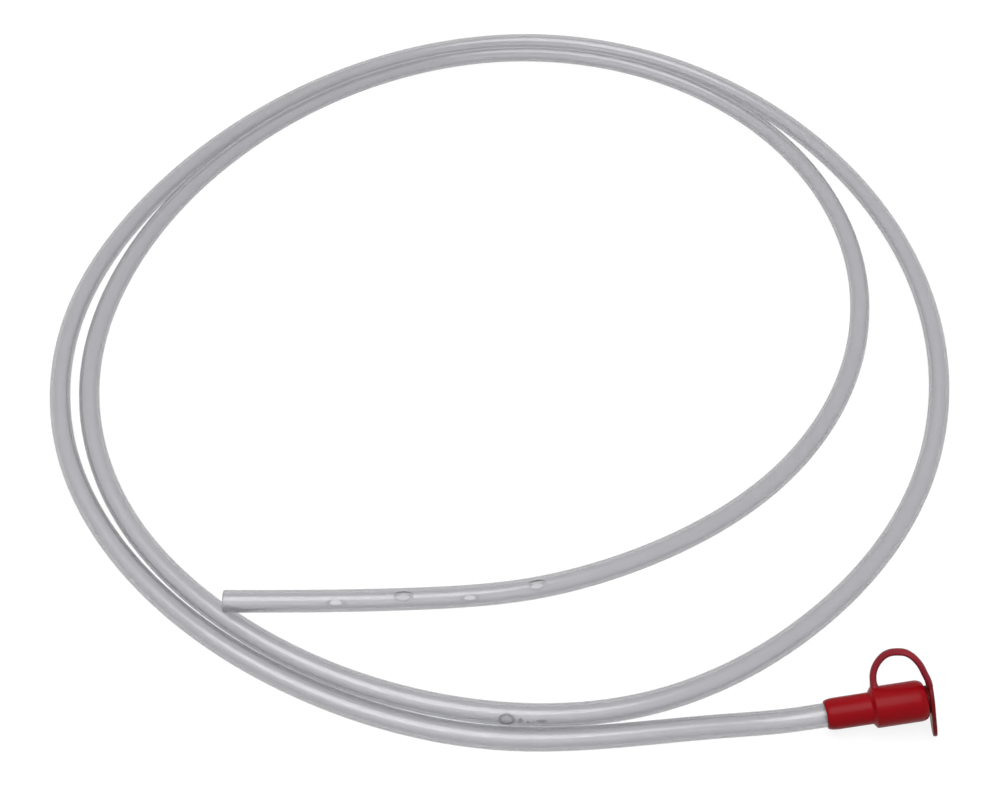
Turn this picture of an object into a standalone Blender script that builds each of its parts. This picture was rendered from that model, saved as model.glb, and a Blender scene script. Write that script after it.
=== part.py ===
"""Nasogastric feeding tube: a clear PVC tube in two loose loops, with side eyes near its open
tip and a red connector whose cap hangs on a moulded strap. Metres, +Z up, floor at Z = 0."""

from math import cos, pi, radians, sin, sqrt

import bpy
import numpy as np
from mathutils import Matrix, Vector

MM = 0.001
SEAT_GAP = 0.3 * MM  # left between pieces that rest on or run into each other

# The tube
TUBE_RADIUS = 2.0 * MM
TUBE_WALL = 0.6 * MM
TUBE_POINT_COUNT = 79
STRAIGHT_RUN = 5.0 * MM  # out of the connector
BOND_GAP = 0.1 * MM  # round the tube where the connector's socket holds it
EYE_LENGTH = 3.4 * MM
EYE_WIDTH = 2.0 * MM
EYE_COUNT = 4
FIRST_EYE = 19.7 * MM  # from the tip to the middle of the first eye
EYE_SPACING = 12.0 * MM
EYE_LEAN = 14.0  # degrees from straight up, towards the near side

# The connector's place: the middle of its tube end on the floor, and its direction in degrees
CONNECTOR_AT = Vector((-9.37, -2.2, 0.0)) * MM
CONNECTOR_YAW = 5.0
CONNECTOR_TILT = 10.0
STRAP_LEAN = 30.5  # of the cap from upright, on the side where its strap joins it
FLOOR_GAP = 0.15 * MM  # under the cap's tab

# The connector
CONNECTOR_LENGTH = 16.6 * MM
SLEEVE_WALL = 0.53 * MM  # round the socket
SLEEVE_END_WALL = 0.12 * MM
SLEEVE_ROUNDING = 1.9 * MM  # length over which the sleeve rounds off to its end
SOCKET_DEPTH = 7.5 * MM
HUB_START = 7.4 * MM
HUB_STEP = 0.8 * MM  # length over which the sleeve swells into the hub
HUB_WALL = 1.25 * MM  # round the mouth
RIM_WIDTH = 0.5 * MM
NOSE_LENGTH = 1.4 * MM  # length over which the hub rounds off to its rim
MOUTH_RADIUS = 2.15 * MM
MOUTH_DEPTH = 7.6 * MM
MOUTH_TAPER = 0.03  # radius lost per length, a 6% taper
TURN_STEP_COUNT = 48
SOCKET_RADIUS = TUBE_RADIUS + BOND_GAP
SLEEVE_RADIUS = SOCKET_RADIUS + SLEEVE_WALL
HUB_RADIUS = MOUTH_RADIUS + HUB_WALL

# The strap
STRAP_THICKNESS = 1.25 * MM
STRAP_WIDTH = 1.9 * MM
STRAP_ROOT = 8.8 * MM  # from the tube end to the middle of the strap's root
ROOT_TURN = 28.0  # degrees round the hub from the cap's side of the strap back to its root
ROOT_HEIGHT = 0.6 * MM
LOOP_HEIGHT = 5.6 * MM  # above the hub
# The loop's middle line, as shares of the way from root to cap and of the loop's height
LOOP_SHAPE = [(0.015, 0.31), (0.07, 0.54), (0.155, 0.73), (0.265, 0.89), (0.39, 0.98), (0.51, 1.0),
              (0.635, 0.98), (0.735, 0.88), (0.815, 0.72), (0.88, 0.51), (0.925, 0.28)]

# The cap
PLUG_LENGTH = 4.0 * MM  # inside the mouth
PLUG_CLEARANCE = 0.1 * MM
PLUG_CHAMFER = 0.4 * MM
COLLAR_RADIUS = 2.3 * MM  # of the shoulder between plug and plate
PLATE_THICKNESS = 0.7 * MM
PLATE_WIDTH = 5.6 * MM
PLATE_ROUNDING = 0.2 * MM
TAB_LENGTH = 3.6 * MM  # how far the plate reaches past the hub, to pull it by
CAP_SKEW = 9.0  # degrees that the soft plate sits out of square on the rim

# The tube's middle line, in millimetres, from the connector round two loops to the tip: x, y and
# how far it is lifted off the floor, where its last stretch climbs onto the inner loop
TUBE_ROUTE = [
    (-27.3, -3.6, 0.0), (-63.9, -5.7, 0.0), (-99.0, 3.8, 0.0), (-129.1, 24.5, 0.0),
    (-149.5, 54.6, 0.0), (-154.5, 90.7, 0.0), (-143.2, 125.4, 0.0), (-121.3, 154.6, 0.0),
    (-91.2, 175.3, 0.0), (-55.6, 182.8, 0.0), (-20.6, 173.0, 0.0), (6.7, 148.9, 0.0),
    (23.1, 116.3, 0.0), (26.6, 79.9, 0.0), (16.1, 44.9, 0.0), (-7.4, 17.0, 0.0),
    (-39.6, 0.4, 0.0), (-76.0, 0.5, 0.0), (-109.7, 14.5, 0.0), (-136.0, 39.8, 0.0),
    (-148.4, 74.0, 0.0), (-144.0, 110.1, 0.0), (-126.5, 142.1, 0.0), (-99.2, 166.2, 0.0),
    (-64.7, 177.9, 0.0), (-29.0, 172.0, 0.0), (-0.8, 149.1, 0.0), (12.9, 115.5, 0.0),
    (9.6, 79.2, 0.0), (-9.7, 48.2, 0.0), (-40.4, 28.1, 0.5), (-59.8, 22.0, 1.1),
    (-77.7, 19.8, 1.9), (-95.4, 18.7, 2.95), (-113.1, 17.9, 4.25),
]


def collection(name):
    found = bpy.data.collections.new(name)
    bpy.context.scene.collection.children.link(found)
    return found


def material(name, colour, roughness, alpha=1.0):
    """A plain Principled material; alpha under 1 lets what is behind show through."""
    new = bpy.data.materials.new(name)
    new.use_nodes = True
    shader = new.node_tree.nodes["Principled BSDF"]
    shader.inputs["Base Color"].default_value = (*colour, 1.0)
    shader.inputs["Roughness"].default_value = roughness
    shader.inputs["Metallic"].default_value = 0.0
    shader.inputs["Alpha"].default_value = alpha
    return new


def place(name, data, group, parent=None, matrix=None):
    """Add data to the scene as an object, at a matrix given in its parent's frame."""
    made = bpy.data.objects.new(name, data)
    group.objects.link(made)
    made.parent = parent
    if matrix is not None:
        made.matrix_local = matrix
    return made


def as_guide(made):
    made.hide_render = True
    made.display_type = "WIRE"


def shade_round(mesh, sharp_angle=35):
    mesh.shade_smooth()
    mesh.set_sharp_from_angle(angle=radians(sharp_angle))


def smooth_curve(points, count):
    """Read a natural cubic spline through the points, by chord length, at equal steps."""
    points = np.array(points, dtype=float)
    chords = np.linalg.norm(np.diff(points, axis=0), axis=1)
    knots = np.append(0.0, np.cumsum(chords))
    system, right = np.eye(len(points)), np.zeros_like(points)
    for i in range(1, len(points) - 1):
        before, after = chords[i - 1], chords[i]
        system[i, i - 1 : i + 2] = before, 2 * (before + after), after
        slopes = (points[i + 1] - points[i]) / after - (points[i] - points[i - 1]) / before
        right[i] = 6 * slopes
    bend = np.linalg.solve(system, right)
    at = np.linspace(0.0, knots[-1], count)
    i = np.clip(np.searchsorted(knots, at, side="right") - 1, 0, len(chords) - 1)
    chord = chords[i][:, None]
    left, ahead = (knots[i + 1] - at)[:, None], (at - knots[i])[:, None]
    cubic = (bend[i] * left**3 + bend[i + 1] * ahead**3) / (6 * chord)
    line = (points[i] / chord - bend[i] * chord / 6) * left
    return cubic + line + (points[i + 1] / chord - bend[i + 1] * chord / 6) * ahead


def poly_curve(name, points, radius, resolution, caps):
    """Curve data of round section on straight steps between the points."""
    curve = bpy.data.curves.new(name, "CURVE")
    curve.dimensions = "3D"
    curve.bevel_depth = radius
    curve.bevel_resolution = resolution
    curve.use_fill_caps = caps
    spline = curve.splines.new("POLY")
    spline.points.add(len(points) - 1)
    for point, spot in zip(spline.points, points):
        point.co = (*spot, 1.0)
    return curve


def meshed(made):
    """Turn a curve object into a mesh object of the same name and place."""
    graph = bpy.context.evaluated_depsgraph_get()
    mesh = bpy.data.meshes.new_from_object(made.evaluated_get(graph))
    name, group, parent, matrix = made.name, made.users_collection[0], made.parent, made.matrix_local.copy()
    bpy.data.objects.remove(made)
    return place(name, mesh, group, parent, matrix)


def turned(name, profile, group, parent):
    """Turn a closed profile of (radius, height) about the local Z axis."""
    mesh = bpy.data.meshes.new(name)
    count = len(profile)
    edges = [(i, (i + 1) % count) for i in range(count)]
    mesh.from_pydata([(r, 0.0, z) for r, z in profile], edges, [])
    made = place(name, mesh, group, parent)
    screw = made.modifiers.new("Turn", "SCREW")
    screw.axis = "Z"
    screw.steps = screw.render_steps = TURN_STEP_COUNT
    screw.use_merge_vertices = True
    screw.merge_threshold = 0.00001
    screw.use_smooth_shade = True
    return made


def boolean(made, other, operation):
    modifier = made.modifiers.new(other.name, "BOOLEAN")
    modifier.operation = operation
    modifier.solver = "EXACT"
    modifier.object = other


def arc(centre, radii, start, end, steps):
    """Points on an ellipse about centre, between two angles in degrees."""
    angles = [radians(start + (end - start) * i / steps) for i in range(steps + 1)]
    return [(centre[0] + radii[0] * cos(a), centre[1] + radii[1] * sin(a)) for a in angles]


def cap_height():
    """From the tube end to the middle of the cap's plate, which clears the rim though askew."""
    clear = SEAT_GAP + (MOUTH_RADIUS + RIM_WIDTH) * sin(radians(CAP_SKEW))
    return CONNECTOR_LENGTH + clear + PLATE_THICKNESS / 2


def plate_reach():
    """The plate's two ends along local X: level with the hub, and the tab past it."""
    return HUB_RADIUS, -HUB_RADIUS - TAB_LENGTH


def connector_frame():
    """Local Z runs from the tube end to the mouth, and local X up the strap's side. The frame is
    as high as keeps the cap's tab just off the floor."""
    stand = Matrix.Rotation(radians(CONNECTOR_YAW), 4, "Z")
    tip = Matrix.Rotation(radians(90 - CONNECTOR_TILT), 4, "Y")
    lean = Matrix.Rotation(radians(180 - STRAP_LEAN), 4, "Z")
    turn = stand @ tip @ lean
    round_end = turn @ Vector((plate_reach()[1] + PLATE_WIDTH / 2, 0.0, cap_height()))
    facing = (turn @ plate_skew()).col[2].z
    below = PLATE_WIDTH / 2 * sqrt(1 - facing**2) + PLATE_THICKNESS / 2 * abs(facing)
    lift = Vector((0.0, 0.0, FLOOR_GAP + below - round_end.z))
    return Matrix.Translation(CONNECTOR_AT + lift) @ turn


def mouth_radius(height):
    return MOUTH_RADIUS - (CONNECTOR_LENGTH - height) * MOUTH_TAPER


def connector_profile():
    """Rim, rounded nose, hub, step and sleeve, then back up through socket, lumen and mouth."""
    lumen = TUBE_RADIUS - TUBE_WALL
    bottom = CONNECTOR_LENGTH - MOUTH_DEPTH
    rim = MOUTH_RADIUS + RIM_WIDTH
    nose = arc((rim, CONNECTOR_LENGTH - NOSE_LENGTH), (HUB_RADIUS - rim, NOSE_LENGTH), 90, 0, 8)
    step = [(SLEEVE_RADIUS + (HUB_RADIUS - SLEEVE_RADIUS) * (1 + cos(pi * i / 5)) / 2,
             HUB_START + HUB_STEP * (1 - i / 5)) for i in range(6)]
    sleeve_end = SOCKET_RADIUS + SLEEVE_END_WALL
    end = arc((sleeve_end, SLEEVE_ROUNDING), (SLEEVE_RADIUS - sleeve_end, SLEEVE_ROUNDING), 0, -90, 5)
    inside = [(SOCKET_RADIUS, 0.0), (SOCKET_RADIUS, SOCKET_DEPTH), (lumen, SOCKET_DEPTH),
              (lumen, bottom), (mouth_radius(bottom), bottom), (MOUTH_RADIUS, CONNECTOR_LENGTH)]
    return nose + step + end + inside


def widened():
    """Stretches the strap's round section across its loop."""
    return Matrix.Diagonal((1.0, STRAP_WIDTH / STRAP_THICKNESS, 1.0, 1.0))


def strap_spot(radius, share):
    """A spot at a share of the way from root to cap, before the section is widened. The strap
    winds back round the hub's axis from the cap's side to its root."""
    turn = radians(ROOT_TURN) * (1 - share)
    across = -radius * sin(turn) * STRAP_THICKNESS / STRAP_WIDTH
    return radius * cos(turn), across, STRAP_ROOT + share * (cap_height() - STRAP_ROOT)


def make_connector(group, guides, frame):
    """The moulded body, with the stub that the strap grows from."""
    made = turned("connector", connector_profile(), group, frame)
    foot = SOCKET_RADIUS + SLEEVE_WALL / 2
    spots = [strap_spot(foot, 0.0), strap_spot(HUB_RADIUS + ROOT_HEIGHT, 0.0)]
    curve = poly_curve("strap_stub", spots, STRAP_THICKNESS / 2, 4, True)
    stub = meshed(place("strap_stub", curve, guides, frame, widened()))
    weld = stub.modifiers.new("Weld", "WELD")
    weld.merge_threshold = 0.00001
    as_guide(stub)
    boolean(made, stub, "UNION")
    made.data.materials.append(material("red_pvc", (0.42, 0.012, 0.03), 0.35))
    return made


def plate_skew():
    return Matrix.Rotation(radians(-CAP_SKEW), 4, "X")


def plate_outline():
    top, tab = plate_reach()
    half = PLATE_WIDTH / 2
    round_top = arc((top - half, 0.0), (half, half), -90, 90, 12)
    round_tab = arc((tab + half, 0.0), (half, half), 90, 270, 12)
    return round_top + round_tab


def make_cap(group, guides, frame):
    """The plate with its pull tab, and the tapered plug that closes the mouth. The object's
    origin is on the slide's axis, in the plate's middle."""
    outline = bpy.data.curves.new("cap", "CURVE")
    outline.dimensions = "2D"
    outline.fill_mode = "BOTH"
    outline.extrude = PLATE_THICKNESS / 2
    spline = outline.splines.new("POLY")
    corners = plate_outline()
    spline.points.add(len(corners) - 1)
    for point, (x, y) in zip(spline.points, corners):
        point.co = (x, y, 0.0, 1.0)
    spline.use_cyclic_u = True
    at_plate = Matrix.Translation((0.0, 0.0, cap_height()))
    made = meshed(place("cap", outline, group, frame, at_plate @ plate_skew()))
    weld = made.modifiers.new("Weld", "WELD")
    weld.merge_threshold = 0.00001
    edges = made.modifiers.new("Rounding", "BEVEL")
    edges.width = PLATE_ROUNDING
    edges.segments = 2
    edges.limit_method = "ANGLE"
    low = CONNECTOR_LENGTH - PLUG_LENGTH
    tip = mouth_radius(low) - PLUG_CLEARANCE
    neck = MOUTH_RADIUS - PLUG_CLEARANCE
    shoulder = CONNECTOR_LENGTH + SEAT_GAP
    profile = [(0.0, cap_height()), (COLLAR_RADIUS, cap_height()), (COLLAR_RADIUS, shoulder),
               (neck, shoulder), (tip, low + PLUG_CHAMFER), (tip - PLUG_CHAMFER, low), (0.0, low)]
    plug = turned("cap_plug", profile, guides, frame)
    as_guide(plug)
    boolean(made, plug, "UNION")
    made.data.materials.append(material("red_pvc_cap", (0.36, 0.01, 0.025), 0.35))
    return made


def strap_line():
    """Middle line of the strap in the connector's frame, from its stub to the plate's top."""
    line = [strap_spot(HUB_RADIUS + ROOT_HEIGHT + SEAT_GAP, 0.0)]
    for share, up in LOOP_SHAPE:
        line.append(strap_spot(HUB_RADIUS + up * LOOP_HEIGHT, share))
    line.append((plate_reach()[0] + SEAT_GAP, 0.0, cap_height() - STRAP_THICKNESS / 4))
    return smooth_curve(line, 36)


def make_strap(group, frame):
    """A flattened strap: a round section widened across the loop."""
    curve = poly_curve("cap_strap", strap_line(), STRAP_THICKNESS / 2, 3, True)
    made = place("cap_strap", curve, group, frame, widened())
    made.data.materials.append(material("red_pvc_strap", (0.38, 0.012, 0.03), 0.38))
    return made


def tube_line():
    """Middle line of the tube: down the socket's axis and out, then along the floor."""
    frame = connector_frame()
    inside = SOCKET_DEPTH - SEAT_GAP
    straight = [frame @ Vector((0.0, 0.0, at)) for at in (inside, inside / 2, 0.0, -STRAIGHT_RUN)]
    floor = [Vector((x, y, lift)) * MM + Vector((0.0, 0.0, TUBE_RADIUS)) for x, y, lift in TUBE_ROUTE]
    line = smooth_curve(straight + floor, TUBE_POINT_COUNT)
    line[:, 2] = np.maximum(line[:, 2], TUBE_RADIUS)
    return line


def spot_from_tip(line, distance):
    """Where the tube's middle line is at a distance from the tip, and its direction there."""
    steps = np.linalg.norm(np.diff(line[::-1], axis=0), axis=1)
    reach = np.append(0.0, np.cumsum(steps))
    spot = Vector([np.interp(distance, reach, line[::-1, k]) for k in range(3)])
    i = int(np.searchsorted(reach, distance))
    return spot, Vector(line[::-1][i - 1] - line[::-1][i]).normalized()


def eye_cutter(name, spot, along, side, group):
    """An egg-shaped cutter that opens one wall of the tube."""
    bpy.ops.mesh.primitive_uv_sphere_add(segments=24, ring_count=12, radius=1.0)
    made = bpy.context.object
    made.name = made.data.name = name
    for other in made.users_collection:
        other.objects.unlink(made)
    group.objects.link(made)
    across = side.cross(along).normalized()
    turn = Matrix((along, across, along.cross(across))).transposed().to_4x4()
    size = Matrix.Diagonal((EYE_LENGTH / 2, EYE_WIDTH / 2, TUBE_WALL * 2, 1.0))
    made.matrix_world = Matrix.Translation(spot + side * TUBE_RADIUS) @ turn @ size
    as_guide(made)
    return made


def make_tube(group, guides):
    line = tube_line()
    made = meshed(place("feeding_tube", poly_curve("feeding_tube", line, TUBE_RADIUS, 4, False), group))
    wall = made.modifiers.new("Wall", "SOLIDIFY")
    wall.thickness = TUBE_WALL
    wall.offset = -1.0
    wall.use_even_offset = True
    for k in range(EYE_COUNT):
        spot, along = spot_from_tip(line, FIRST_EYE + k * EYE_SPACING)
        level = Vector((-along.y, along.x, 0.0)).normalized()
        upright = along.cross(level) if along.cross(level).z > 0 else level.cross(along)
        near = level if level.y < 0 else -level
        side = upright * cos(radians(EYE_LEAN)) + near * sin(radians(EYE_LEAN))
        facing = side if k % 2 else -side
        boolean(made, eye_cutter(f"eye_{k + 1}", spot, along, facing, guides), "DIFFERENCE")
    shade_round(made.data)
    made.data.materials.append(material("clear_pvc", (0.8, 0.8, 0.82), 0.15, 0.45))
    return made


def main():
    for old in list(bpy.data.objects):
        bpy.data.objects.remove(old)
    group, guides = collection("nasogastric_tube"), collection("cutters")
    frame = place("connector_axis", None, group, None, connector_frame())
    make_tube(group, guides)
    make_connector(group, guides, frame)
    make_strap(group, frame)
    make_cap(group, guides, frame)


main()
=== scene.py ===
"""Looks of the nasogastric feeding tube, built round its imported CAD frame."""

from math import cos, pi, radians, sin, tau

import bmesh
import bpy
import numpy as np
from mathutils import Matrix, Vector


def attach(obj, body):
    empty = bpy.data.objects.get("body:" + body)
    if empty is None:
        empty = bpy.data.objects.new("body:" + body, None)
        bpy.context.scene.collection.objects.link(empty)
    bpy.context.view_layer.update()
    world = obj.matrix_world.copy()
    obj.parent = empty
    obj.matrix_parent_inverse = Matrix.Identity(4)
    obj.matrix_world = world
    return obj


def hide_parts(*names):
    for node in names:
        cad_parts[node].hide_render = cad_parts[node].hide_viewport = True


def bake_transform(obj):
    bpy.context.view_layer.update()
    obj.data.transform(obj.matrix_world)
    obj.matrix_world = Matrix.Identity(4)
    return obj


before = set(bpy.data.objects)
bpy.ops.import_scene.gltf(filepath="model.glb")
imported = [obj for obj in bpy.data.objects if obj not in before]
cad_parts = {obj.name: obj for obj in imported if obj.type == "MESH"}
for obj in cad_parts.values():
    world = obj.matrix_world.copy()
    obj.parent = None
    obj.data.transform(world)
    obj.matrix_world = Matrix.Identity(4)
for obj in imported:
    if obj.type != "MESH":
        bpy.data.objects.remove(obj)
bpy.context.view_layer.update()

MM = 0.001

# The tube
TUBE_RADIUS = 2.0 * MM
TUBE_WALL = 0.6 * MM
BORE_RADIUS = TUBE_RADIUS - TUBE_WALL
TUBE_RINGS = 600
TUBE_SIDES = 48
LIP = 0.26 * MM  # rounding of the tip's edges
LIP_STEPS = 4  # in a quarter turn of that rounding
STRAIGHT_RUN = 5.0 * MM  # out of the connector

# The connector's place: the middle of its tube end, and its direction in degrees
CONNECTOR_AT = Vector((-9.37, -2.2, 3.445)) * MM
CONNECTOR_YAW = 5.0
CONNECTOR_TILT = 10.0
STRAP_LEAN = 30.5  # of the cap from upright, on the side where its strap joins it

# The connector's turned outline
CONNECTOR_LENGTH = 16.6 * MM
BOND_GAP = 0.1 * MM  # round the tube where the socket holds it
SOCKET_DEPTH = 7.5 * MM
SLEEVE_WALL = 0.53 * MM  # round the socket
SLEEVE_END_WALL = 0.12 * MM
SLEEVE_ROUNDING = 1.9 * MM  # length over which the sleeve rounds off to its end
HUB_START = 7.4 * MM
HUB_STEP = 0.8 * MM  # length over which the sleeve swells into the hub
HUB_STEP_COUNT = 10
HUB_WALL = 1.25 * MM  # round the mouth
RIM_WIDTH = 0.5 * MM
NOSE_LENGTH = 1.4 * MM  # length over which the hub rounds off to its rim
MOUTH_RADIUS = 2.15 * MM
MOUTH_DEPTH = 7.6 * MM
MOUTH_TAPER = 0.03  # radius lost per length
SEAT_GAP = 0.3 * MM  # left between pieces that rest on or run into each other
SOCKET_RADIUS = TUBE_RADIUS + BOND_GAP
SLEEVE_RADIUS = SOCKET_RADIUS + SLEEVE_WALL
SLEEVE_END_RADIUS = SOCKET_RADIUS + SLEEVE_END_WALL
HUB_RADIUS = MOUTH_RADIUS + HUB_WALL
RIM_RADIUS = MOUTH_RADIUS + RIM_WIDTH

# The cap
CAP_HEIGHT = 17.66 * MM  # of the plate's middle, from the connector's tube end
CAP_SKEW = -9.0  # degrees that the soft plate sits out of square on the rim
PLATE_THICKNESS = 0.7 * MM
PLATE_WIDTH = 5.6 * MM
PLATE_ROUNDING = 0.25 * MM
TAB_LENGTH = 3.6 * MM  # how far the plate reaches past the hub, to pull it by
PLUG_LENGTH = 4.0 * MM
PLUG_CLEARANCE = 0.1 * MM
PLUG_ROUNDING = 0.4 * MM
COLLAR_RADIUS = 2.3 * MM
CENTRE_HOLE = 0.02 * MM  # radius left open where the plug's turned outline meets its axis

# The strap
STRAP_ROOT = 8.8 * MM
ROOT_TURN = 28.0  # degrees round the hub from the cap's side of the strap back to its root
LOOP_HEIGHT = 5.6 * MM
STRAP_HALF_THICKNESS = 0.56 * MM
STRAP_HALF_WIDTH = 0.95 * MM
ROOT_THICKER = 0.3 * MM  # what the root adds to the half thickness
ROOT_WIDER = 0.25 * MM
ROOT_SHARE = 0.1  # of the strap's length, over which the root thins down
STRAP_RINGS = 90
STRAP_SIDES = 24
# The strap's middle line, as shares of the way from root to cap and of the loop's height
LOOP_SHAPE = [(0.0, -0.1), (0.0, 0.14), (0.015, 0.31), (0.07, 0.54), (0.155, 0.73), (0.265, 0.89),
              (0.39, 0.98), (0.51, 1.0), (0.635, 0.98), (0.735, 0.88), (0.815, 0.72), (0.88, 0.51),
              (0.925, 0.28), (0.965, 0.08), (0.985, -0.12)]

# The tube's middle line in millimetres: x, y and how far it is lifted off the floor
TUBE_ROUTE = [
    (-27.3, -3.6, 0.0), (-63.9, -5.7, 0.0), (-99.0, 3.8, 0.0), (-129.1, 24.5, 0.0),
    (-149.5, 54.6, 0.0), (-154.5, 90.7, 0.0), (-143.2, 125.4, 0.0), (-121.3, 154.6, 0.0),
    (-91.2, 175.3, 0.0), (-55.6, 182.8, 0.0), (-20.6, 173.0, 0.0), (6.7, 148.9, 0.0),
    (23.1, 116.3, 0.0), (26.6, 79.9, 0.0), (16.1, 44.9, 0.0), (-7.4, 17.0, 0.0),
    (-39.6, 0.4, 0.0), (-76.0, 0.5, 0.0), (-109.7, 14.5, 0.0), (-136.0, 39.8, 0.0),
    (-148.4, 74.0, 0.0), (-144.0, 110.1, 0.0), (-126.5, 142.1, 0.0), (-99.2, 166.2, 0.0),
    (-64.7, 177.9, 0.0), (-29.0, 172.0, 0.0), (-0.8, 149.1, 0.0), (12.9, 115.5, 0.0),
    (9.6, 79.2, 0.0), (-9.7, 48.2, 0.0), (-40.4, 28.1, 0.5), (-59.8, 22.0, 1.1),
    (-77.7, 19.8, 1.9), (-95.4, 18.7, 2.95), (-113.1, 17.9, 4.25),
]

# The side eyes
EYE_COUNT = 4
FIRST_EYE = 19.7 * MM  # from the tip to the middle of the first eye
EYE_SPACING = 12.0 * MM
EYE_LENGTH = 3.4 * MM
EYE_WIDTH = 2.0 * MM
EYE_DEPTH = 0.76 * MM  # of the egg shape that cuts an eye, so that its rim slopes in
EYE_LEAN = 14.0  # degrees from straight up, towards the near side

# The printed depth mark, on the inner strand where both run side by side
MARK_FROM_TIP = 564.4 * MM
MARK_ANGLE = 37.0  # degrees up from the tube's near side
MARK_RING = (1.4 * MM, 1.12 * MM)
MARK_STROKE = 0.52 * MM
# The dot, tick and dash beside the ring: each one's middle, and half its length and width
MARK_SPOTS = [
    ((2.3 * MM, 0.0), (0.36 * MM, 0.42 * MM)),
    ((3.5 * MM, -0.4 * MM), (0.13 * MM, 0.42 * MM)),
    ((5.8 * MM, 0.0), (0.95 * MM, 0.24 * MM)),
]
MARK_PINHOLE = 0.05  # share of such a spot that stays open in its middle
MARK_PROUD = 0.02 * MM
OVAL_SIDES = 24

# The camera, over the near left of the loops
CAMERA_AT = Vector((-64.26, -95.0, 209.0)) * MM
CAMERA_DOWN = 52.0  # degrees below level
CAMERA_LENS = 46.8  # millimetres

# Light and floor, in metres and watts
KEY_AT = Vector((-0.2, -0.02, 0.8))
KEY_SIZE = 0.7
KEY_POWER = 5.0
LOOPS_MIDDLE = Vector((-0.06, 0.08, 0.0))
WORLD_LIGHT = 0.45  # strength of the white room's light, which is seen as 1
FLOOR_GREY = 0.2
FLOOR_GLOW = 0.84  # strength of the floor's own light, for the eye alone
FLOOR_HALF_WIDTH = 12.0
FLOOR_DROP = 0.1 * MM

# Colours
CONNECTOR_RED = (0.30, 0.001, 0.005)
# The cap is the same red PVC as the connector; this darker red is painted shade
CAP_RED_PAINTED_SHADE = (0.17, 0.006, 0.008)
STRAP_RED = (0.27, 0.018, 0.028)
TUBE_TINT = (0.69, 0.69, 0.708)
WALL_DENSITY = 185.0  # light lost per metre of PVC
DARK_INK = (0.22, 0.22, 0.235)
LIGHT_INK = (0.34, 0.34, 0.36)


# Meshes


def add(name, mesh):
    made = bpy.data.objects.new(name, mesh)
    bpy.context.scene.collection.objects.link(made)
    return made


def smooth_curve(points, count):
    """Read a natural cubic spline through the points, by chord length, at equal steps."""
    points = np.array(points, dtype=float)
    chords = np.linalg.norm(np.diff(points, axis=0), axis=1)
    knots = np.append(0.0, np.cumsum(chords))
    system, right = np.eye(len(points)), np.zeros_like(points)
    for i in range(1, len(points) - 1):
        before, after = chords[i - 1], chords[i]
        system[i, i - 1 : i + 2] = before, 2 * (before + after), after
        slopes = (points[i + 1] - points[i]) / after - (points[i] - points[i - 1]) / before
        right[i] = 6 * slopes
    bend = np.linalg.solve(system, right)
    at = np.linspace(0.0, knots[-1], count)
    i = np.clip(np.searchsorted(knots, at, side="right") - 1, 0, len(chords) - 1)
    chord = chords[i][:, None]
    left, ahead = (knots[i + 1] - at)[:, None], (at - knots[i])[:, None]
    cubic = (bend[i] * left**3 + bend[i + 1] * ahead**3) / (6 * chord)
    line = (points[i] / chord - bend[i] * chord / 6) * left
    return cubic + line + (points[i + 1] / chord - bend[i + 1] * chord / 6) * ahead


def arc(centre, radii, start, end, steps):
    """Points on an ellipse about centre, between two angles in degrees."""
    angles = [radians(start + (end - start) * i / steps) for i in range(steps + 1)]
    return [(centre[0] + radii[0] * cos(a), centre[1] + radii[1] * sin(a)) for a in angles]


def ring_mesh(name, rings, closed=False):
    """A mesh skinned over rings of points. Closed joins the last ring to the first, and
    otherwise both ends are capped."""
    mesh = bpy.data.meshes.new(name)
    sides = len(rings[0])
    points = [tuple(p) for ring in rings for p in ring]
    faces = []
    for k in range(len(rings) if closed else len(rings) - 1):
        a, b = k * sides, (k + 1) % len(rings) * sides
        faces += [(a + i, a + (i + 1) % sides, b + (i + 1) % sides, b + i) for i in range(sides)]
    if not closed:
        faces += [tuple(reversed(range(sides))), tuple(range(len(points) - sides, len(points)))]
    mesh.from_pydata(points, [], faces)
    return shaded(mesh)


def shaded(mesh, sharp=40):
    """Face the mesh outwards and shade it smooth but for its sharp edges."""
    bm = bmesh.new()
    bm.from_mesh(mesh)
    bmesh.ops.recalc_face_normals(bm, faces=bm.faces)
    bm.to_mesh(mesh)
    bm.free()
    mesh.shade_smooth()
    mesh.set_sharp_from_angle(angle=radians(sharp))
    return mesh


def boolean(made, other, operation, sharp):
    """Cut or join an object with another, which is then removed."""
    change = made.modifiers.new(operation, "BOOLEAN")
    change.operation, change.solver, change.object = operation, "EXACT", other
    graph = bpy.context.evaluated_depsgraph_get()
    graph.update()
    mesh = bpy.data.meshes.new_from_object(made.evaluated_get(graph))
    made.modifiers.clear()
    made.data = shaded(mesh, sharp)
    mesh.materials.clear()
    bpy.data.objects.remove(other)


def turned(profile, sides=96):
    """Rings of a (radius, height) profile turned about local Z."""
    return [[(r * cos(tau * i / sides), r * sin(tau * i / sides), z) for i in range(sides)]
            for r, z in profile]


def connector_frame():
    """Local Z runs from the tube end to the mouth, and local X up the strap's side."""
    stand = Matrix.Rotation(radians(CONNECTOR_YAW), 4, "Z")
    tip = Matrix.Rotation(radians(90 - CONNECTOR_TILT), 4, "Y")
    lean = Matrix.Rotation(radians(180 - STRAP_LEAN), 4, "Z")
    return Matrix.Translation(CONNECTOR_AT) @ stand @ tip @ lean


FRAME = connector_frame()


# Materials


def shader(name):
    made = bpy.data.materials.new(name)
    made.use_nodes = True
    tree = made.node_tree
    return made, tree, tree.nodes["Principled BSDF"]


def node(tree, kind, inputs=None, **settings):
    """Add a node. An input is set to a value, or linked to another node's output."""
    made = tree.nodes.new(kind)
    for key, value in settings.items():
        setattr(made, key, value)
    for key, value in (inputs or {}).items():
        if isinstance(value, bpy.types.NodeSocket):
            tree.links.new(value, made.inputs[key])
        else:
            made.inputs[key].default_value = value
    return made


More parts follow.
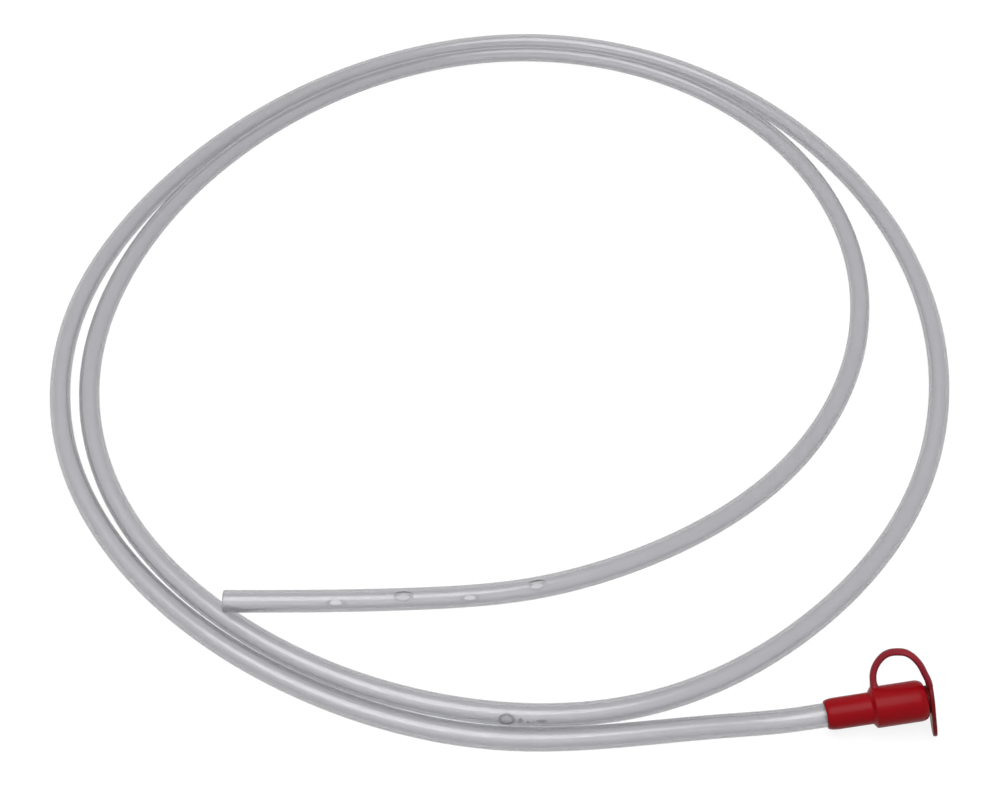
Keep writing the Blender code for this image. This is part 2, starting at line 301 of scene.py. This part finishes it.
def noise(tree, scale, detail):
    spot = node(tree, "ShaderNodeTexCoord").outputs["Object"]
    made = node(tree, "ShaderNodeTexNoise", {"Vector": spot, "Scale": scale, "Detail": detail})
    return made.outputs[0]


def ranged(tree, value, low, high):
    """Stretch a value from 0 to 1 over another range."""
    return node(tree, "ShaderNodeMapRange", {"Value": value, "To Min": low, "To Max": high}).outputs[0]


def blended(tree, share, first, second):
    """Mix two colours. The Mix node's colour sockets are its inputs 6 and 7 and its output 2."""
    made = node(tree, "ShaderNodeMix", {0: share, 6: (*first, 1), 7: (*second, 1)}, data_type="RGBA")
    return made.outputs[2]


def red_pvc(name, colour, roughness):
    """Moulded soft PVC: slightly mottled red with a fine moulded skin."""
    made, tree, principled = shader(name)
    mottle = noise(tree, 450.0, 3.0)
    skin = noise(tree, 2600.0, 2.0)
    red = blended(tree, mottle, [0.82 * c for c in colour], colour)
    rough = ranged(tree, mottle, roughness - 0.05, roughness + 0.07)
    bump = node(tree, "ShaderNodeBump", {"Height": skin, "Strength": 0.08, "Distance": 0.00003})
    tree.links.new(red, principled.inputs["Base Color"])
    tree.links.new(rough, principled.inputs["Roughness"])
    tree.links.new(bump.outputs[0], principled.inputs["Normal"])
    principled.inputs["Specular IOR Level"].default_value = 0.11
    return made


def clear_pvc():
    """Clear soft PVC, slightly hazy, whose wall soaks up a little light. Rays from lamps pass
    straight through."""
    made, tree, principled = shader("clear_pvc_look")
    rough = ranged(tree, noise(tree, 220.0, 2.0), 0.14, 0.24)
    tree.links.new(rough, principled.inputs["Roughness"])
    principled.inputs["Base Color"].default_value = (*TUBE_TINT, 1)
    principled.inputs["IOR"].default_value = 1.5
    principled.inputs["Transmission Weight"].default_value = 0.87
    clear = node(tree, "ShaderNodeBsdfTransparent", {"Color": (0.95, 0.95, 0.95, 1)})
    path = node(tree, "ShaderNodeLightPath")
    mix = node(tree, "ShaderNodeMixShader", {0: path.outputs["Is Shadow Ray"]})
    tree.links.new(principled.outputs[0], mix.inputs[1])
    tree.links.new(clear.outputs[0], mix.inputs[2])
    output = tree.nodes["Material Output"]
    tree.links.new(mix.outputs[0], output.inputs["Surface"])
    soaked = {"Color": (0, 0, 0.02, 1), "Density": WALL_DENSITY}
    volume = node(tree, "ShaderNodeVolumeAbsorption", soaked)
    tree.links.new(volume.outputs[0], output.inputs["Volume"])
    return made


def mark_ink():
    """Grey ink, unevenly laid."""
    made, tree, principled = shader("mark_ink_look")
    ink = blended(tree, noise(tree, 3000.0, 2.0), DARK_INK, LIGHT_INK)
    tree.links.new(ink, principled.inputs["Base Color"])
    principled.inputs["Roughness"].default_value = 0.5
    principled.inputs["Specular IOR Level"].default_value = 0.2
    return made


# Camera and light


def make_camera():
    data = bpy.data.cameras.new("camera")
    data.lens = CAMERA_LENS
    data.sensor_width = 36
    data.clip_start, data.clip_end = 0.01, 20
    camera = bpy.data.objects.new("camera", data)
    camera.location = CAMERA_AT
    camera.rotation_euler = (radians(90 - CAMERA_DOWN), 0, 0)
    bpy.context.scene.collection.objects.link(camera)
    bpy.context.scene.camera = camera


def seen_rays(tree):
    """1 for rays that show the background: from the camera, a reflection or glass."""
    path = node(tree, "ShaderNodeLightPath").outputs
    either = node(tree, "ShaderNodeMath", {0: path["Is Camera Ray"], 1: path["Is Glossy Ray"]},
                  operation="MAXIMUM")
    seen = node(tree, "ShaderNodeMath", {0: either.outputs[0], 1: path["Is Transmission Ray"]},
                operation="MAXIMUM")
    return seen.outputs[0]


def make_world():
    """A white room: pure white where it is seen, and dimmer as a light."""
    world = bpy.data.worlds.new("studio")
    bpy.context.scene.world = world
    world.use_nodes = True
    tree = world.node_tree
    background = tree.nodes["Background"]
    background.inputs["Color"].default_value = (1, 1, 1, 1)
    level = ranged(tree, seen_rays(tree), WORLD_LIGHT, 1.0)
    tree.links.new(level, background.inputs["Strength"])


def make_floor():
    """A white floor. A little light of its own brings it to white for the eye; the tube's
    shadow stays on it."""
    mesh = bpy.data.meshes.new("floor")
    bm = bmesh.new()
    bmesh.ops.create_grid(bm, x_segments=1, y_segments=1, size=FLOOR_HALF_WIDTH)
    bm.to_mesh(mesh)
    bm.free()
    floor = add("floor", mesh)
    floor.location.z = -FLOOR_DROP
    made, tree, principled = shader("floor_white")
    principled.inputs["Base Color"].default_value = (FLOOR_GREY, FLOOR_GREY, FLOOR_GREY, 1)
    principled.inputs["Roughness"].default_value = 0.9
    principled.inputs["Specular IOR Level"].default_value = 0.0
    principled.inputs["Emission Color"].default_value = (1, 1, 1, 1)
    glow = node(tree, "ShaderNodeMath", {0: seen_rays(tree), 1: FLOOR_GLOW}, operation="MULTIPLY")
    tree.links.new(glow.outputs[0], principled.inputs["Emission Strength"])
    floor.data.materials.append(made)


def make_key_lamp():
    data = bpy.data.lights.new("key", "AREA")
    data.shape = "DISK"
    data.size = KEY_SIZE
    data.energy = KEY_POWER
    made = bpy.data.objects.new("key", data)
    made.location = KEY_AT
    made.rotation_euler = (LOOPS_MIDDLE - KEY_AT).to_track_quat("-Z", "Y").to_euler()
    bpy.context.scene.collection.objects.link(made)


# The tube


def tube_line(count):
    """Middle line of the tube: down the socket's axis and out, then along the floor."""
    inside = SOCKET_DEPTH - SEAT_GAP
    straight = [FRAME @ Vector((0, 0, at)) for at in (inside, inside / 2, 0.0, -STRAIGHT_RUN)]
    floor = [Vector((x, y, lift)) * MM + Vector((0, 0, TUBE_RADIUS)) for x, y, lift in TUBE_ROUTE]
    line = smooth_curve(straight + floor, count)
    line[:, 2] = np.maximum(line[:, 2], TUBE_RADIUS)
    return line


def across(along):
    """The level and the upright direction square to a nearly level one."""
    level = Vector((-along.y, along.x, 0)).normalized()
    return level, along.cross(level)


def nearer(level):
    """Of a level direction and its opposite, the one that points to the near side."""
    return level if level.y < 0 else -level


def ring_at(centre, along, radius):
    """A ring of points square to the tube, starting at its level side."""
    centre, along = Vector(centre), Vector(along).normalized()
    level, upright = across(along)
    turns = [tau * i / TUBE_SIDES for i in range(TUBE_SIDES)]
    return [centre + (level * cos(turn) + upright * sin(turn)) * radius for turn in turns]


def spot_from_tip(line, distance):
    """Where the tube's middle line is at a distance from the tip, and its direction there."""
    steps = np.linalg.norm(np.diff(line[::-1], axis=0), axis=1)
    reach = np.append(0.0, np.cumsum(steps))
    spot = Vector([np.interp(distance, reach, line[::-1, k]) for k in range(3)])
    i = int(np.searchsorted(reach, distance))
    return spot, Vector(line[::-1][i - 1] - line[::-1][i]).normalized()


def eye_cutters(line):
    """One mesh of egg-shaped cutters, each through one wall, alternately down and up."""
    bm = bmesh.new()
    for k in range(EYE_COUNT):
        spot, along = spot_from_tip(line, FIRST_EYE + k * EYE_SPACING)
        level, upright = across(along)
        upright = upright if upright.z > 0 else -upright
        side = upright * cos(radians(EYE_LEAN)) + nearer(level) * sin(radians(EYE_LEAN))
        side = side if k % 2 else -side
        width = side.cross(along).normalized()
        turn = Matrix((along, width, along.cross(width))).transposed().to_4x4()
        size = Matrix.Diagonal((EYE_LENGTH / 2, EYE_WIDTH / 2, EYE_DEPTH, 1))
        place = Matrix.Translation(spot + side * TUBE_RADIUS) @ turn @ size
        bmesh.ops.create_uvsphere(bm, u_segments=40, v_segments=20, radius=1.0, matrix=place)
    mesh = bpy.data.meshes.new("eye_cutters")
    bm.to_mesh(mesh)
    bm.free()
    return add("eye_cutters", mesh)


def oval(middle, radii):
    """An ellipse's points, evenly spaced by angle."""
    last = 360 - 360 / OVAL_SIDES
    return arc(middle, radii, 0, last, OVAL_SIDES - 1)


def make_depth_mark(line):
    """A ring, a dot, a tick and a dash of ink, each a thin patch wrapped on the tube."""
    points, faces = [], []

    def spot(along, around, radius):
        centre, out = spot_from_tip(line, MARK_FROM_TIP + along)
        level = across(out)[0]
        angle = radians(MARK_ANGLE) + around / TUBE_RADIUS
        return centre + (nearer(level) * cos(angle) + Vector((0, 0, sin(angle)))) * radius

    def patch(outline, hole):
        """Join an outline to a smaller one inside it, both given as (along, around)."""
        first, sides = len(points), len(outline)
        low, high = TUBE_RADIUS - MARK_PROUD, TUBE_RADIUS + MARK_PROUD
        for path, radius in ((outline, low), (outline, high), (hole, high), (hole, low)):
            points.extend(tuple(spot(a, b, radius)) for a, b in path)
        for k in range(4):
            a, b = first + k * sides, first + (k + 1) % 4 * sides
            faces.extend((a + i, a + (i + 1) % sides, b + (i + 1) % sides, b + i) for i in range(sides))

    patch(oval((0, 0), MARK_RING), oval((0, 0), [radius - MARK_STROKE for radius in MARK_RING]))
    for middle, radii in MARK_SPOTS:
        patch(oval(middle, radii), oval(middle, [radius * MARK_PINHOLE for radius in radii]))
    mesh = bpy.data.meshes.new("depth_mark")
    mesh.from_pydata(points, [], faces)
    mark = add("depth_mark", shaded(mesh))
    mark.data.materials.append(mark_ink())
    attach(mark, "tube_and_connector")
    return mark


def lip_rings(tip, out):
    """Rings that round the tip's end over from the outside to the bore."""
    rings = []
    for radius, start in ((TUBE_RADIUS - LIP, 0), (BORE_RADIUS + LIP, 90)):
        for k in range(1, LIP_STEPS):
            a = radians(start + 90 * k / LIP_STEPS)
            rings.append(ring_at(tip + out * (LIP * (sin(a) - 1)), out, radius + LIP * cos(a)))
    return rings


def make_tube():
    """The tube's wall, outside and bore, with its rounded tip and its four eyes."""
    line = tube_line(TUBE_RINGS)
    along = np.gradient(line, axis=0)
    outer = [ring_at(p, t, TUBE_RADIUS) for p, t in zip(line, along)]
    inner = [ring_at(p, t, BORE_RADIUS) for p, t in zip(line, along)]
    tip, out = Vector(line[-1]), Vector(along[-1]).normalized()
    outer[-1] = ring_at(tip - out * LIP, out, TUBE_RADIUS)
    inner[-1] = ring_at(tip - out * LIP, out, BORE_RADIUS)
    rings = outer + lip_rings(tip, out) + inner[::-1]
    tube = add("clear_tube", ring_mesh("clear_tube", rings, closed=True))
    boolean(tube, eye_cutters(line), "DIFFERENCE", 30)
    tube.data.materials.append(clear_pvc())
    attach(tube, "tube_and_connector")
    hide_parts("feeding_tube")
    mark = make_depth_mark(line)


# The connector, the cap and the strap


def connector_profile():
    """Rounded nose, hub, step and sleeve, then back up through socket, lumen and mouth."""
    bottom = CONNECTOR_LENGTH - MOUTH_DEPTH
    bottom_radius = MOUTH_RADIUS - MOUTH_DEPTH * MOUTH_TAPER
    nose_at = (RIM_RADIUS, CONNECTOR_LENGTH - NOSE_LENGTH)
    nose = arc(nose_at, (HUB_RADIUS - RIM_RADIUS, NOSE_LENGTH), 90, 0, 16)
    shares = [i / HUB_STEP_COUNT for i in range(HUB_STEP_COUNT + 1)]
    step = [(SLEEVE_RADIUS + (HUB_RADIUS - SLEEVE_RADIUS) * (1 + cos(pi * share)) / 2,
             HUB_START + HUB_STEP * (1 - share)) for share in shares]
    end_at = (SLEEVE_END_RADIUS, SLEEVE_ROUNDING)
    end = arc(end_at, (SLEEVE_RADIUS - SLEEVE_END_RADIUS, SLEEVE_ROUNDING), 0, -90, 8)
    inside = [(SOCKET_RADIUS, 0.0), (SOCKET_RADIUS, SOCKET_DEPTH), (BORE_RADIUS, SOCKET_DEPTH),
              (BORE_RADIUS, bottom), (bottom_radius, bottom), (MOUTH_RADIUS, CONNECTOR_LENGTH)]
    return nose + step + end + inside


def make_connector(material):
    rings = turned(connector_profile())
    made = add("connector_body", ring_mesh("connector_body", rings, closed=True))
    made.data.transform(FRAME)
    made.data.materials.append(material)
    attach(made, "tube_and_connector")
    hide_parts("connector")


def plate_mesh():
    """The flat plate with round ends, longer on its tab's side, rounded along both rims."""
    half = PLATE_WIDTH / 2
    top, tab = HUB_RADIUS, -HUB_RADIUS - TAB_LENGTH
    outline = (arc((top - half, 0), (half, half), -90, 90, 24)
               + arc((tab + half, 0), (half, half), 90, 270, 24))
    thick = PLATE_THICKNESS / 2
    bm = bmesh.new()
    low = [bm.verts.new((x, y, -thick)) for x, y in outline]
    high = [bm.verts.new((x, y, thick)) for x, y in outline]
    bm.faces.new(low)
    bm.faces.new(high)
    for i in range(len(outline)):
        j = (i + 1) % len(outline)
        bm.faces.new((low[i], low[j], high[j], high[i]))
    bmesh.ops.recalc_face_normals(bm, faces=bm.faces)
    rims = [e for e in bm.edges if abs(e.verts[0].co.z - e.verts[1].co.z) < thick]
    bmesh.ops.bevel(bm, geom=rims, offset=PLATE_ROUNDING, segments=4, profile=0.5, affect="EDGES")
    mesh = bpy.data.meshes.new("cap_plate")
    bm.to_mesh(mesh)
    bm.free()
    return mesh


def plug_profile():
    """Collar, shoulder and tapered plug with a rounded end."""
    low = CONNECTOR_LENGTH - PLUG_LENGTH
    end = MOUTH_RADIUS - PLUG_LENGTH * MOUTH_TAPER - PLUG_CLEARANCE
    neck = MOUTH_RADIUS - PLUG_CLEARANCE
    shoulder = CONNECTOR_LENGTH + SEAT_GAP
    rounding = arc((end - PLUG_ROUNDING, low + PLUG_ROUNDING), (PLUG_ROUNDING, PLUG_ROUNDING),
                   0, -90, 6)
    collar = [(CENTRE_HOLE, CAP_HEIGHT), (COLLAR_RADIUS, CAP_HEIGHT), (COLLAR_RADIUS, shoulder)]
    return collar + [(neck, shoulder)] + rounding + [(CENTRE_HOLE, low)]


def make_cap(material):
    """The plate with its tab, and the plug under it."""
    mesh = plate_mesh()
    lift = Matrix.Translation((0, 0, CAP_HEIGHT))
    mesh.transform(lift @ Matrix.Rotation(radians(CAP_SKEW), 4, "X"))
    plate = add("cap_plate", mesh)
    plug = add("cap_plug", ring_mesh("cap_plug", turned(plug_profile())))
    boolean(plate, plug, "UNION", 35)
    plate.data.transform(FRAME)
    plate.data.materials.append(material)
    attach(plate, "cap")
    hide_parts("cap")


def strap_spot(radius, share):
    """A spot at a share of the way from root to cap, and the direction across the strap there.
    The strap winds back round the hub's axis from the cap's side to its root."""
    turn = radians(ROOT_TURN) * (1 - min(1, max(0, share)))
    height = STRAP_ROOT + share * (CAP_HEIGHT - STRAP_ROOT)
    return Vector((radius * cos(turn), -radius * sin(turn), height)), Vector((sin(turn), cos(turn), 0))


def strap_rings():
    """Oval rings along the strap, wider across the loop, and thicker near the hub."""
    spots = [strap_spot(HUB_RADIUS + up * LOOP_HEIGHT, share)[0] for share, up in LOOP_SHAPE]
    line = smooth_curve(spots, STRAP_RINGS)
    rings = []
    for k, (spot, along) in enumerate(zip(line, np.gradient(line, axis=0))):
        along = Vector(along).normalized()
        share = (spot[2] - STRAP_ROOT) / (CAP_HEIGHT - STRAP_ROOT)
        level = strap_spot(1.0, share)[1]
        side = (level - along * level.dot(along)).normalized()
        out = side.cross(along)
        root = max(0.0, 1 - k / STRAP_RINGS / ROOT_SHARE) ** 2
        thick = STRAP_HALF_THICKNESS + ROOT_THICKER * root
        wide = STRAP_HALF_WIDTH + ROOT_WIDER * root
        turns = [tau * i / STRAP_SIDES for i in range(STRAP_SIDES)]
        rings.append([Vector(spot) + out * thick * cos(turn) + side * wide * sin(turn) for turn in turns])
    return rings


def make_strap(material):
    made = add("strap", ring_mesh("strap", strap_rings()))
    made.data.transform(FRAME)
    made.data.materials.append(material)
    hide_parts("cap_strap")
    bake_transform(made)


bpy.context.scene.view_settings.view_transform = "Standard"
make_camera()
make_world()
make_floor()
make_key_lamp()
make_tube()
make_connector(red_pvc("connector_red", CONNECTOR_RED, 0.34))
# The cap's darker red is painted shade over the connector's red PVC
make_cap(red_pvc("cap_red_painted_shade", CAP_RED_PAINTED_SHADE, 0.38))
make_strap(red_pvc("strap_red", STRAP_RED, 0.40))
